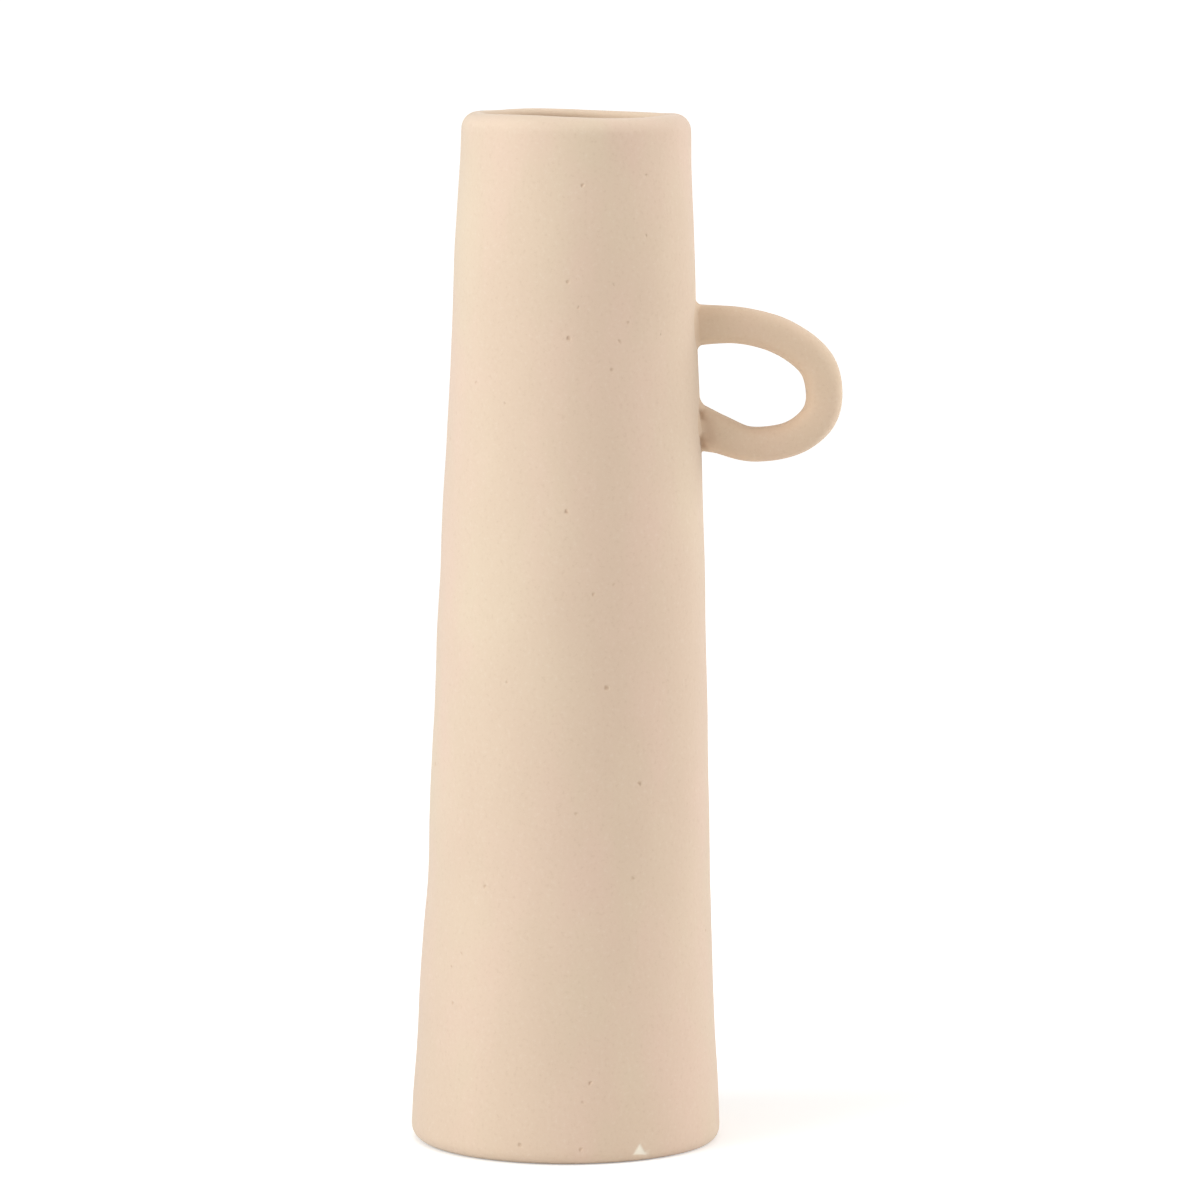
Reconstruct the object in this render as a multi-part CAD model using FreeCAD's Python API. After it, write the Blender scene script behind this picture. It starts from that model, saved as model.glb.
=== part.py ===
"""A tall hand-built vase with one small loop handle, in millimetres.

The vase stands on its foot ring, and the origin is the middle of that ring, on the table.
+Z is up and the handle points along +X. Each piece here is a piece of clay that the potter
joins to the others before firing: a tapered wall, a base disc set inside its foot, a coil
that seals the inside corner, a rolled coil bent into the handle, and the clay that is worked
in round each of the handle's two roots.
"""

import FreeCAD, Part

import math
import os

from FreeCAD import Vector

# The whole vase, measured up the middle line of its wall
vase_height = 300.0
foot_radius = 45.3
rim_radius = 32.8

# The foot flares: below this height the wall spreads faster, and it bends evenly from the one
# slope to the other over this much of the wall either side
flare_height = 42.0
flare_radius = 42.6
flare_bend = 35.0

# The wall leans a little towards the handle, and so its lip slopes down that way
lip_wall = 7.0
foot_wall = 6.4
rim_lean = 2.8

# The soft edges of the lip and of the foot ring: how far each reaches from its corner
lip_round_outer = 4.6
lip_round_inner = 2.2
foot_round_outer = 2.5
foot_round_inner = 1.2

# The base disc, and the coil pressed into the inside corner above it
foot_recess = 1.6
base_thickness = 7.0
corner_coil_height = 5.5
corner_coil_edge = 0.6

# The handle, a rolled coil whose roots sit on the wall one above the other: the flattening is
# how much wider than thick the coil was pressed
upper_root_height = 238.8
root_spacing = 30.3
handle_projection = 42.7
coil_thickness = 10.2
coil_flattening = 0.6
luting_size = 1.8

# How far a cutting tool runs past what it cuts
overrun = 10.0

# The most of a wall's thickness that the rounding of its outer or its inner edge may take
OUTER_ROUND_SHARE = 0.66
INNER_ROUND_SHARE = 0.32

# The handle's centreline from the upper root round to the lower one: how far out from the
# wall, as a share of the centreline's reach, and how far down, as a share of the spacing
LOOP_SHARES = (
    (0.00, 0.00),
    (0.34, 0.01),
    (0.675, 0.13),
    (0.93, 0.37),
    (1.00, 0.635),
    (0.93, 0.885),
    (0.72, 1.09),
    (0.42, 1.13),
    (0.18, 1.035),
    (0.00, 1.00),
)

# The coil's thickness along that line: it swells where it was pressed onto the wall
COIL_SHARES = (
    (0.00, 1.20),
    (0.05, 1.13),
    (0.13, 1.03),
    (0.33, 0.98),
    (0.55, 1.02),
    (0.77, 0.97),
    (0.87, 1.02),
    (0.95, 1.17),
    (1.00, 1.27),
)
COIL_STEPS = 26

# The worked-in clay, from deep in the wall to well within the coil: how far it spreads beyond
# the coil, and how far it stands out from the wall, as shares of its size
LUTING_SHARES = ((1.94, -1.0), (0.45, 0.40), (-0.30, 1.25))

# The lean lifts one side of the foot by this much, so the tube starts that far below the table
foot_level = -foot_radius * rim_lean / vase_height

# The roundings, where the wall is thick enough for them
foot_outer = min(foot_round_outer, OUTER_ROUND_SHARE * foot_wall)
foot_inner = min(foot_round_inner, INNER_ROUND_SHARE * foot_wall)
lip_outer = min(lip_round_outer, OUTER_ROUND_SHARE * lip_wall)
lip_inner = min(lip_round_inner, INNER_ROUND_SHARE * lip_wall)


def outer_radius(height):
    """The wall's outer radius at a height, but for the bend between its two slopes."""
    if height < flare_height:
        spread = (flare_height - height) / flare_height
        return flare_radius + (foot_radius - flare_radius) * spread
    narrowing = (height - flare_height) / (vase_height - flare_height)
    return flare_radius + (rim_radius - flare_radius) * narrowing


def inner_radius(height):
    """The wall's inner radius at a height: the wall thins evenly from foot to lip."""
    return outer_radius(height) - foot_wall + (foot_wall - lip_wall) * height / vase_height


def wall_corner(radius_at, height, bend):
    """A corner of the vase's outline on one side of its wall, and the reach of its bend."""
    return Vector(radius_at(height), 0.0, height), bend


def middle_corner(height):
    """A corner of a filled outline on the vase's middle line."""
    return Vector(0.0, 0.0, height), 0.0


def bent_outline(corners):
    """The edges of a closed outline whose sides are straight between its bends."""
    edges = []
    starts = []
    ends = []
    for n, (corner, bend) in enumerate(corners):
        before = corners[n - 1][0]
        after = corners[(n + 1) % len(corners)][0]
        starts.append(corner + (before - corner).normalize() * bend)
        ends.append(corner + (after - corner).normalize() * bend)
    for n, (corner, bend) in enumerate(corners):
        edges.append(Part.makeLine(ends[n - 1], starts[n]))
        if bend > 0.0:
            curve = Part.BezierCurve()
            curve.setPoles([starts[n], corner, ends[n]])
            edges.append(curve.toShape())
    return edges


def turned(corners):
    """The solid that an outline sweeps round the vase, with its seam opposite the handle."""
    upright = Vector(0.0, 0.0, 1.0)
    face = Part.Face(Part.Wire(bent_outline(corners)))
    solid = face.revolve(Vector(), upright)
    return solid.rotated(Vector(), upright, math.degrees(math.pi))


def leaned(solid):
    """The solid turned about the middle of the foot until the rim has its lean."""
    degrees = math.degrees(math.atan2(rim_lean, vase_height))
    return solid.rotated(Vector(), Vector(0.0, 1.0, 0.0), degrees)


def slab(low, high):
    """A square slab, wider than the vase, between two heights."""
    side = 2.0 * (foot_radius + overrun)
    return Part.makeBox(side, side, high - low, Vector(-side / 2.0, -side / 2.0, low))


def filled(radius_at):
    """The solid that fills the vase to one side of its wall, from its foot to its lip."""
    return turned([
        middle_corner(foot_level),
        wall_corner(radius_at, foot_level, 0.0),
        wall_corner(radius_at, flare_height, flare_bend),
        wall_corner(radius_at, vase_height, 0.0),
        middle_corner(vase_height),
    ])


def make_body_wall():
    """The tapered tube with lip and foot rounded, leaned, and cut level where it stands."""
    tube = turned([
        wall_corner(outer_radius, foot_level, foot_outer),
        wall_corner(outer_radius, flare_height, flare_bend),
        wall_corner(outer_radius, vase_height, lip_outer),
        wall_corner(inner_radius, vase_height, lip_inner),
        wall_corner(inner_radius, flare_height, flare_bend),
        wall_corner(inner_radius, foot_level, foot_inner),
    ])
    return leaned(tube).cut(slab(-2.0 * overrun, 0.0))


def make_base_disc(cavity):
    """The disc that fills the foot, set up a little so that the vase stands on its ring."""
    return leaned(cavity.common(slab(foot_recess, foot_recess + base_thickness)))


def make_corner_coil(cavity):
    """The coil pressed into the corner between wall and base, and scraped to a slope."""
    floor = foot_recess + base_thickness
    top = floor + corner_coil_height
    toe = inner_radius(top) - corner_coil_height
    ring = turned([
        (Vector(toe, 0.0, floor), 0.0),
        (Vector(toe, 0.0, floor + corner_coil_edge), 0.0),
        (Vector(inner_radius(top) - corner_coil_edge, 0.0, top), 0.0),
        (Vector(foot_radius, 0.0, top), 0.0),
        (Vector(foot_radius, 0.0, floor), 0.0),
    ])
    return leaned(ring.common(cavity))


def handle_centreline():
    """The line down the middle of the handle's coil, from the upper root to the lower one."""
    lean = rim_lean * upper_root_height / vase_height
    root = outer_radius(upper_root_height) + lean
    reach = handle_projection - coil_thickness / 2.0
    points = []
    for out, down in LOOP_SHARES:
        points.append(Vector(root + reach * out, 0.0, upper_root_height - root_spacing * down))
    line = Part.BSplineCurve()
    line.interpolate(Points=points)
    return line


def swelling(along):
    """The coil's thickness at a share of its length, as a share of its own thickness."""
    for low, high in zip(COIL_SHARES, COIL_SHARES[1:]):
        if along <= high[0]:
            part = (along - low[0]) / (high[0] - low[0])
            return low[1] + part * (high[1] - low[1])
    return COIL_SHARES[-1][1]


def coil_section(line, along, outward, grown, side):
    """An oval ring square to the coil's middle line, moved on along it and grown all round.

    The ring starts on the given side, where the seam of its loft then runs.
    """
    at = line.parameterAtDistance(line.length() * along, line.FirstParameter)
    direction = Vector(*line.tangent(at)[0])
    direction.normalize()
    thickness = coil_thickness * swelling(along) + 2.0 * grown
    width = thickness + coil_flattening
    ring = Part.Wire(Part.Ellipse(Vector(), width / 2.0, thickness / 2.0).toShape())
    turn = FreeCAD.Rotation(side, side.cross(direction), direction, "ZXY")
    ring.Placement = FreeCAD.Placement(line.value(at) + direction * outward, turn)
    return ring


def make_coil(line):
    """The whole rolled coil, with both ends run on into the wall."""
    behind = Vector(0.0, 1.0, 0.0)
    sections = [coil_section(line, 0.0, -foot_wall, 0.0, behind)]
    for step in range(1, COIL_STEPS):
        sections.append(coil_section(line, step / COIL_STEPS, 0.0, 0.0, behind))
    sections.append(coil_section(line, 1.0, foot_wall, 0.0, behind))
    return Part.makeLoft(sections, True, True)


def make_luting(line, root, away):
    """The ring of clay worked into the corner between the wall and one root of the coil.

    Its seam runs in front, because a seam that crossed the coil's own would spoil the cut.
    """
    in_front = Vector(0.0, -1.0, 0.0)
    sections = []
    for spread, stand in LUTING_SHARES:
        outward = away * stand * luting_size
        sections.append(coil_section(line, root, outward, spread * luting_size, in_front))
    return Part.makeLoft(sections, True, True).cut(coil).cut(outside)


cavity = filled(inner_radius)
outside = leaned(filled(outer_radius))
centreline = handle_centreline()
coil = make_coil(centreline)
pieces = {
    "body_wall": make_body_wall(),
    "base_disc": make_base_disc(cavity),
    "corner_coil": make_corner_coil(cavity),
    "handle_loop": coil.cut(outside),
    "upper_luting": make_luting(centreline, 0.0, 1.0),
    "lower_luting": make_luting(centreline, 1.0, -1.0),
}

os.makedirs("parts", exist_ok=True)
for name, shape in pieces.items():
    shape.exportStep(os.path.join("parts", name + ".step"))
    box = shape.BoundBox
    print(name, "volume", round(shape.Volume, 1), "solids", len(shape.Solids),
          "valid", shape.isValid(), "x", round(box.XMin, 2), round(box.XMax, 2),
          "z", round(box.ZMin, 2), round(box.ZMax, 2))
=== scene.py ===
# %% [markdown]
# # A tall hand-built vase with one small loop handle
#
# The vase is one body of matt, sand-coloured fired clay: a tapered wall with a soft lip, a base
# disc set up inside the foot, a coil that seals the inside corner, and a rolled coil bent into a
# loop high on one side. This lesson dresses the measured frame piece by piece. Each cell says
# what the piece is on the real vase, and why it is made the way it is here.

import math
import random

import bmesh
import bpy
from mathutils import Matrix, Vector, noise
from mathutils.bvhtree import BVHTree


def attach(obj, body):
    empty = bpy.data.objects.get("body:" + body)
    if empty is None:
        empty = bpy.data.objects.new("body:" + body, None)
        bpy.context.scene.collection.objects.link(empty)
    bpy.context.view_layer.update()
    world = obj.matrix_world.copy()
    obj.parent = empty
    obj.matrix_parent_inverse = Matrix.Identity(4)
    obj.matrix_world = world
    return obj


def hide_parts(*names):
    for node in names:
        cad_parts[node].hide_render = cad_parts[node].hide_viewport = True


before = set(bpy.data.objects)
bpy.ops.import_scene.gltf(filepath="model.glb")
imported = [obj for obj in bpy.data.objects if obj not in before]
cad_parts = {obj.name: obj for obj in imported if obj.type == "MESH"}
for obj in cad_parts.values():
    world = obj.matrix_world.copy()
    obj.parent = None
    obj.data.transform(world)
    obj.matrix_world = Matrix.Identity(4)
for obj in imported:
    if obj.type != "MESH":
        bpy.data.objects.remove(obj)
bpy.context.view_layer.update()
print("frame loaded:", sorted(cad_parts))

# %% [markdown]
# ## The photographer's place
#
# A tall object photographed from close by looks different from one photographed from far away:
# the near rim sinks below the far one, and the foot bulges downwards. So the camera stands where
# the photographer's did, worked out from how far the rim and the foot curve. Knowing that place
# also lets a mark seen in the photograph be put on the clay, by following its line of sight.

# %% Set the camera
# The photograph's width and height, and the lens, in its pixels; the rest in metres and mm
PHOTO_SIZE = 1200.0
PHOTO_MIDDLE = PHOTO_SIZE / 2.0
camera_place = Vector((0.0099, -1.988, 0.3972))
camera_pitch = math.radians(6.8475)
focal_pixels = 6876.0
sensor_width = 36.0
LEVEL_VIEW = math.radians(90.0)

camera_data = bpy.data.cameras.new("camera")
camera_data.sensor_width = sensor_width
camera_data.lens = focal_pixels / PHOTO_SIZE * sensor_width
camera = bpy.data.objects.new("camera", camera_data)
camera.location = camera_place
camera.rotation_euler = (LEVEL_VIEW - camera_pitch, 0.0, 0.0)
bpy.context.scene.collection.objects.link(camera)
bpy.context.scene.camera = camera


def sight_line(across, down):
    """The direction in which the camera sees a place of the photograph, given in its pixels."""
    forward = Vector((0.0, math.cos(camera_pitch), -math.sin(camera_pitch)))
    upward = Vector((0.0, math.sin(camera_pitch), math.cos(camera_pitch)))
    side = Vector((1.0, 0.0, 0.0))
    line = forward + side * ((across - PHOTO_MIDDLE) / focal_pixels)
    return (line - upward * ((down - PHOTO_MIDDLE) / focal_pixels)).normalized()


def seen_at(point):
    """The place of the photograph where the camera sees a point: the way back of sight_line."""
    away = point - camera_place
    depth = away.y * math.cos(camera_pitch) - away.z * math.sin(camera_pitch)
    rise = away.y * math.sin(camera_pitch) + away.z * math.cos(camera_pitch)
    across = PHOTO_MIDDLE + focal_pixels * away.x / depth
    return across, PHOTO_MIDDLE - focal_pixels * rise / depth


print("camera lens", round(camera_data.lens, 1), "mm")

# %% [markdown]
# ## Sizes of the wall
#
# The main sizes are those of the measured frame, so the dressed vase fills it. What the frame
# leaves out is the maker's hand: the wall swells and bows by a few tenths of a millimetre on its
# way up. Those small departures are kept as a short table and joined by a smooth curve.

# %% Wall sizes and the maker's unevenness
MM = 0.001
vase_height = 300.0 * MM
foot_radius = 45.3 * MM
flare_radius = 42.6 * MM
flare_height = 42.0 * MM
flare_bend = 35.0 * MM
rim_radius = 32.8 * MM
lip_wall = 7.0 * MM
foot_wall = 6.4 * MM
rim_lean = 2.8 * MM
lean_angle = math.atan2(rim_lean, vase_height)
foot_level = -foot_radius * rim_lean / vase_height

# The soft edges of the foot and of the lip: how far each reaches from its corner
foot_round_outer = 4.2 * MM
foot_round_inner = 1.2 * MM
lip_round_outer = 4.6 * MM
lip_round_inner = 2.2 * MM

# Share of the height, then in mm the extra radius, and how far the middle line is bowed towards
# the handle
UNEVENNESS = (
    (0.00, 0.00, -0.25),
    (0.04, 0.20, -0.30),
    (0.10, -0.05, -0.25),
    (0.15, 0.10, -0.38),
    (0.21, 0.10, -0.10),
    (0.26, -0.02, 0.18),
    (0.32, 0.30, 0.08),
    (0.36, 0.35, 0.05),
    (0.44, 0.42, 0.30),
    (0.50, 0.62, 0.20),
    (0.55, 0.72, 0.45),
    (0.62, 0.82, 0.28),
    (0.68, 0.68, 0.37),
    (0.74, 0.48, 0.35),
    (0.80, 0.33, 0.20),
    (0.87, 0.48, 0.12),
    (0.95, 0.15, 0.20),
    (0.98, 0.25, 0.28),
    (1.00, 0.22, 0.24),
)


def smooth_between(table, share, column):
    """A smooth curve through one column of a table whose first column is a share."""
    share = min(max(share, table[0][0]), table[-1][0])
    for n in range(len(table) - 1):
        if share <= table[n + 1][0]:
            break
    before = table[max(n - 1, 0)][column]
    low = table[n][column]
    high = table[n + 1][column]
    after = table[min(n + 2, len(table) - 1)][column]
    t = (share - table[n][0]) / (table[n + 1][0] - table[n][0])
    bend = 2.0 * before - 5.0 * low + 4.0 * high - after
    twist = 3.0 * (low - high) + after - before
    return low + 0.5 * t * (high - before + t * (bend + t * twist))


def outer_radius(height):
    """The wall's outer radius at a height, but for the bend between its two slopes."""
    if height < flare_height:
        return flare_radius + (foot_radius - flare_radius) * (1.0 - height / flare_height)
    narrowing = (height - flare_height) / (vase_height - flare_height)
    return flare_radius + (rim_radius - flare_radius) * narrowing


def inner_radius(height):
    """The wall's inner radius: the wall thins evenly from foot to lip."""
    return outer_radius(height) - foot_wall + (foot_wall - lip_wall) * height / vase_height


print("lean", round(math.degrees(lean_angle), 2), "degrees")

# %% [markdown]
# ## Small helpers
#
# Every piece is shaped in a bmesh and then handed to one object at the origin. A spun piece
# starts as a handful of corner vertices: bevelling a vertex of such a wire rounds the corner,
# subdividing its long edges gives the clay enough points to be uneven, and one spin closes it.

# %% Helpers for meshes
# Vertices nearer to each other than this become one, and each face is divided once
weld_distance = 0.002 * MM
SOFT_LEVELS = 1


def finish_piece(name, bm, node):
    """Makes the bmesh an object that stands for a node, smooth, with a subdivision surface."""
    bmesh.ops.remove_doubles(bm, verts=bm.verts, dist=weld_distance)
    bmesh.ops.recalc_face_normals(bm, faces=bm.faces)
    for face in bm.faces:
        face.smooth = True
    mesh = bpy.data.meshes.new(name)
    bm.to_mesh(mesh)
    bm.free()
    piece = bpy.data.objects.new(name, mesh)
    bpy.context.scene.collection.objects.link(piece)
    surface = piece.modifiers.new("soft clay", "SUBSURF")
    surface.levels = SOFT_LEVELS
    surface.render_levels = SOFT_LEVELS
    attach(piece, "root")
    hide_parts(node)
    print(name, len(mesh.polygons), "faces before its subdivision")
    return piece


def corner_wire(bm, corners, closed):
    """A wire through corners in the upright plane, each bevelled by its own reach and steps.

    Each corner is a radius, a height, how far its bend reaches, and the steps of that bend.
    """
    verts = [bm.verts.new((radius, 0.0, height)) for radius, height, reach, steps in corners]
    for first, second in zip(verts, verts[1:]):
        bm.edges.new((first, second))
    if closed:
        bm.edges.new((verts[-1], verts[0]))
    for vert, (radius, height, reach, steps) in zip(verts, corners):
        if reach:
            bmesh.ops.bevel(
                bm, geom=[vert], offset=reach, offset_type="OFFSET", affect="VERTICES",
                segments=steps, profile=0.5, material=-1,
            )


def split_long_edges(bm, longest):
    """Cuts each edge of the wire into equal lengths no longer than this."""
    for edge in list(bm.edges):
        cuts = math.ceil(edge.calc_length() / longest(edge)) - 1
        if cuts > 0:
            bmesh.ops.subdivide_edges(bm, edges=[edge], cuts=cuts)


def spin_round(bm, steps):
    """Spins the wire once round the upright axis and closes it."""
    bmesh.ops.spin(
        bm, geom=bm.verts[:] + bm.edges[:], cent=(0.0, 0.0, 0.0), axis=(0.0, 0.0, 1.0),
        angle=2.0 * math.pi, steps=steps, use_merge=True,
    )
    bmesh.ops.remove_doubles(bm, verts=bm.verts, dist=weld_distance)


def lean_over(bm):
    """Leans the piece towards the handle about the middle of the foot, as the wall leans."""
    turn = Matrix.Rotation(lean_angle, 3, "Y")
    bmesh.ops.rotate(bm, verts=bm.verts, cent=(0.0, 0.0, 0.0), matrix=turn)


# %% [markdown]
# ## The wall
#
# On the real vase the wall is a slab or a stack of coils, beaten and scraped until it is even.
# A lathe shape is the nearest simple form, so the wall starts as a spun outline of its cut
# through foot and lip. Then each vertex is moved by a little: the table's swelling and bow, broad
# soft noise for the paddle's flats, and finer noise for the scraper. The displacement is real
# geometry, because its edge shows against the background.

# %% Move the clay as hands and tools did
noise_origin = Vector((3.7, 1.9, 8.3))
# How deep and how wide the dents of the paddle and of the scraper are. Heights are squeezed by
# this share before the paddle's noise is read, which makes its dents taller than wide
paddle_depth, paddle_size = 0.22 * MM, 34.0 * MM
scraper_depth, scraper_size = 0.07 * MM, 9.0 * MM
PADDLE_SQUEEZE = 0.45


def hand_noise(point, size, seed):
    """Soft noise between about -1 and 1 whose patches are this large."""
    return noise.noise(point / size + noise_origin * seed)


def make_uneven(bm):
    """Moves each vertex by the unevenness that the maker's hands and tools left."""
    for vert in bm.verts:
        share = vert.co.z / vase_height
        radial = Vector((vert.co.x, vert.co.y, 0.0)).normalized()
        squeezed = Vector((vert.co.x, vert.co.y, vert.co.z * PADDLE_SQUEEZE))
        swell = smooth_between(UNEVENNESS, share, 1) * MM
        broad = paddle_depth * hand_noise(squeezed, paddle_size, seed=1.0)
        fine = scraper_depth * hand_noise(vert.co, scraper_size, seed=2.0)
        vert.co += radial * (swell + broad + fine)
        vert.co.x += smooth_between(UNEVENNESS, share, 2) * MM


# %% The lip's slope and waves
# How far down from the lip its waves reach, and how much it falls for each mm to the handle
lip_zone = 16.0 * MM
LIP_FALL = 0.0065
# Share of the turn round the lip, counted from the front by way of the handle's side, and how
# much higher the lip stands there in mm: a hand-finished lip rises and falls a little
LIP_WAVES = (
    (0.00, 0.31), (0.04, 0.16), (0.11, 0.17), (0.18, 0.53), (0.25, 0.50), (0.33, -0.13),
    (0.45, -0.32), (0.52, -0.05), (0.58, 0.10), (0.65, -0.15), (0.70, 0.03), (0.75, 0.20),
    (0.80, 0.06), (0.88, 0.40), (0.93, 0.55), (0.97, 0.43), (1.00, 0.31),
)


def shape_lip(bm):
    """Lets the lip slope a little more towards the handle, and rise and fall round its rim."""
    for vert in bm.verts:
        depth = (vert.co.z - (vase_height - lip_zone)) / lip_zone
        if depth > 0.0:
            weight = depth * depth * (3.0 - 2.0 * depth)
            turn = math.atan2(vert.co.x, -vert.co.y) / (2.0 * math.pi) % 1.0
            wave = smooth_between(LIP_WAVES, turn, 1) * MM
            vert.co.z += weight * (wave - LIP_FALL * vert.co.x)


# %% Spin the wall
WALL_STEPS = 128
outer_row = 2.8 * MM
inner_row = 8.0 * MM

wall_bm = bmesh.new()
corner_wire(wall_bm, [
    (outer_radius(foot_level), foot_level, foot_round_outer, 5),
    (outer_radius(flare_height), flare_height, flare_bend, 8),
    (outer_radius(vase_height), vase_height, lip_round_outer, 7),
    (inner_radius(vase_height), vase_height, lip_round_inner, 4),
    (inner_radius(flare_height), flare_height, flare_bend, 6),
    (inner_radius(foot_level), foot_level, foot_round_inner, 3),
], closed=True)


def wall_row(edge):
    """The row height: finer outside, where the light shows every dent, than inside."""
    middle = (edge.verts[0].co + edge.verts[1].co) / 2.0
    outside = middle.x > inner_radius(middle.z) + lip_wall / 2.0
    return outer_row if outside else inner_row


split_long_edges(wall_bm, wall_row)
spin_round(wall_bm, WALL_STEPS)
print("wall spun in", WALL_STEPS, "steps")

# %% Mark the wall's inside, then move the clay
# The attribute is 0 outside and 1 inside, and starts at this share of the wall's thickness.
# Through it the material paints shade on the inside, warmer and a little darker
INSIDE_START = 0.75
inside_shade_layer = wall_bm.verts.layers.float.new("inside")
for vert in wall_bm.verts:
    depth = outer_radius(vert.co.z) - Vector((vert.co.x, vert.co.y)).length
    weight = (depth / lip_wall - INSIDE_START) / (1.0 - INSIDE_START)
    vert[inside_shade_layer] = min(max(weight, 0.0), 1.0)
make_uneven(wall_bm)
shape_lip(wall_bm)
lean_over(wall_bm)
# The foot is level where the vase stands
for vert in wall_bm.verts:
    vert.co.z = max(vert.co.z, 0.0)
bmesh.ops.recalc_face_normals(wall_bm, faces=wall_bm.faces)
wall_tree = BVHTree.FromBMesh(wall_bm)
print("wall", len(wall_bm.faces), "faces")

# %% [markdown]
# ## Pinholes
#
# Air and burnt-out specks leave pinholes in unglazed clay, and on this plain wall they are the
# detail that the eye finds. Each hole is bevelled out of one vertex, which gives a small round
# rim, and its face is then inset and sunk. The holes that the photograph shows go where it shows
# them; the sides and the back get their own, scattered with a fixed seed. An attribute marks the
# inside of each hole, and there the clay's material paints shade, darker than the depth alone
# makes it.

# %% Sink the pinholes
# Across and down in the photograph, and the radius of the dark spot in mm
SEEN_PINHOLES = (
    (583, 186, 0.42), (646, 175, 0.32), (646, 236, 0.32), (613, 285, 0.36), (568, 282, 0.40),
    (628, 323, 0.34), (578, 307, 0.34), (569, 338, 0.48), (619, 342, 0.42), (660, 334, 0.34),
    (612, 370, 0.42), (476, 382, 0.32), (505, 403, 0.30), (567, 511, 0.50), (614, 585, 0.32),
    (594, 595, 0.42), (607, 688, 0.52), (507, 682, 0.32), (639, 784, 0.48), (576, 814, 0.34),
    (633, 878, 0.40), (485, 887, 0.42), (461, 954, 0.38), (451, 967, 0.36), (453, 1003, 0.38),
    (591, 1084, 0.48), (583, 1102, 0.34), (520, 1145, 0.46), (581, 1150, 0.42),
)
# The rest: how many, round which part of the wall in degrees from the handle, between which
# shares of the height, and how large
HIDDEN_PINHOLES = 44
HIDDEN_TURNS = (-20.0, 200.0)
HIDDEN_HEIGHTS = (0.04, 0.95)
HIDDEN_RADII = (0.28, 0.5)
HIDDEN_SEED = 992
# The soft rim is this much wider than the dark spot, and with this profile its bevel is round
HOLE_SPREAD = 2.1
ROUND_PROFILE = 0.086
# The two steps down: how far each is inset and sunk, as shares of the rim's radius, and its
# painted shade as a share of the darkest. A narrow hole is also a shallow one and holds less
# shade, so the darkest painted shade grows with the square of that radius, from this much at 1 mm
HOLE_STEPS = ((0.3, 0.06, 0.5), (0.3, 0.20, 1.0))
HOLE_SHADE = 0.4
pit_shade_layer = wall_bm.verts.layers.float.new("pit_shade")
chip_layer = wall_bm.verts.layers.float.new("chip")


def sink_pinhole(bm, point, radius):
    """Turns the vertex nearest to a point into a small round hole of this radius."""
    vert = min(bm.verts, key=lambda v: (v.co - point).length_squared)
    vert.co = point
    made = bmesh.ops.bevel(
        bm, geom=[vert], offset=radius, offset_type="OFFSET", affect="VERTICES",
        segments=2, profile=ROUND_PROFILE, material=-1,
    )
    hole = made["faces"]
    inward = Vector((-point.x, -point.y, 0.0)).normalized()
    darkest_shade = HOLE_SHADE * (radius / MM) ** 2
    for narrower, deeper, tint in HOLE_STEPS:
        bmesh.ops.inset_region(
            bm, faces=hole, thickness=narrower * radius, use_even_offset=False,
        )
        corners = {corner for face in hole for corner in face.verts}
        bmesh.ops.translate(bm, verts=list(corners), vec=inward * deeper * radius)
        # Painted shade in the hole: each step down is drawn darker
        for corner in corners:
            corner[pit_shade_layer] = tint * darkest_shade
    return len(hole) > 0


sunk = 0
for across, down, radius in SEEN_PINHOLES:
    place = wall_tree.ray_cast(camera_place, sight_line(across, down))[0]
    if place:
        sunk += sink_pinhole(wall_bm, place, HOLE_SPREAD * radius * MM)
scatter = random.Random(HIDDEN_SEED)
for n in range(HIDDEN_PINHOLES):
    turn = math.radians(scatter.uniform(*HIDDEN_TURNS))
    height = vase_height * scatter.uniform(*HIDDEN_HEIGHTS)
    outward = Vector((math.cos(turn), math.sin(turn), 0.0))
    start = outward * 2.0 * foot_radius + Vector((0.0, 0.0, height))
    place = wall_tree.ray_cast(start, -outward)[0]
    if place:
        radius = scatter.uniform(*HIDDEN_RADII)
        sunk += sink_pinhole(wall_bm, place, HOLE_SPREAD * radius * MM)
print("pinholes sunk:", sunk)

# %% [markdown]
# ## The chip at the foot
#
# A small three-cornered flake is missing low on the front, and the fresh clay shows pale in it.
# The rows of the wall are too wide to draw it, so the edges round that place are first divided
# finely. Then each vertex that the photograph's triangle covers is pushed in and marked.

# %% Knock the chip off the foot's edge
# The triangle's corners in the photograph, and how many pixels its edge takes to fade
CHIP_CORNERS = ((640.0, 1142.0), (648.5, 1155.5), (632.0, 1155.5))
CHIP_FADE = 2.0
CHIP_CUTS = 4
chip_zone = 3.6 * MM
chip_depth = 0.25 * MM


def depth_in_triangle(place, corners):
    """How far a place lies inside a triangle whose corners go round clockwise on the photo."""
    depths = []
    for n, (across, down) in enumerate(corners):
        side_across = corners[(n + 1) % len(corners)][0] - across
        side_down = corners[(n + 1) % len(corners)][1] - down
        cross = side_across * (place[1] - down) - side_down * (place[0] - across)
        depths.append(cross / math.hypot(side_across, side_down))
    return min(depths)


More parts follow.
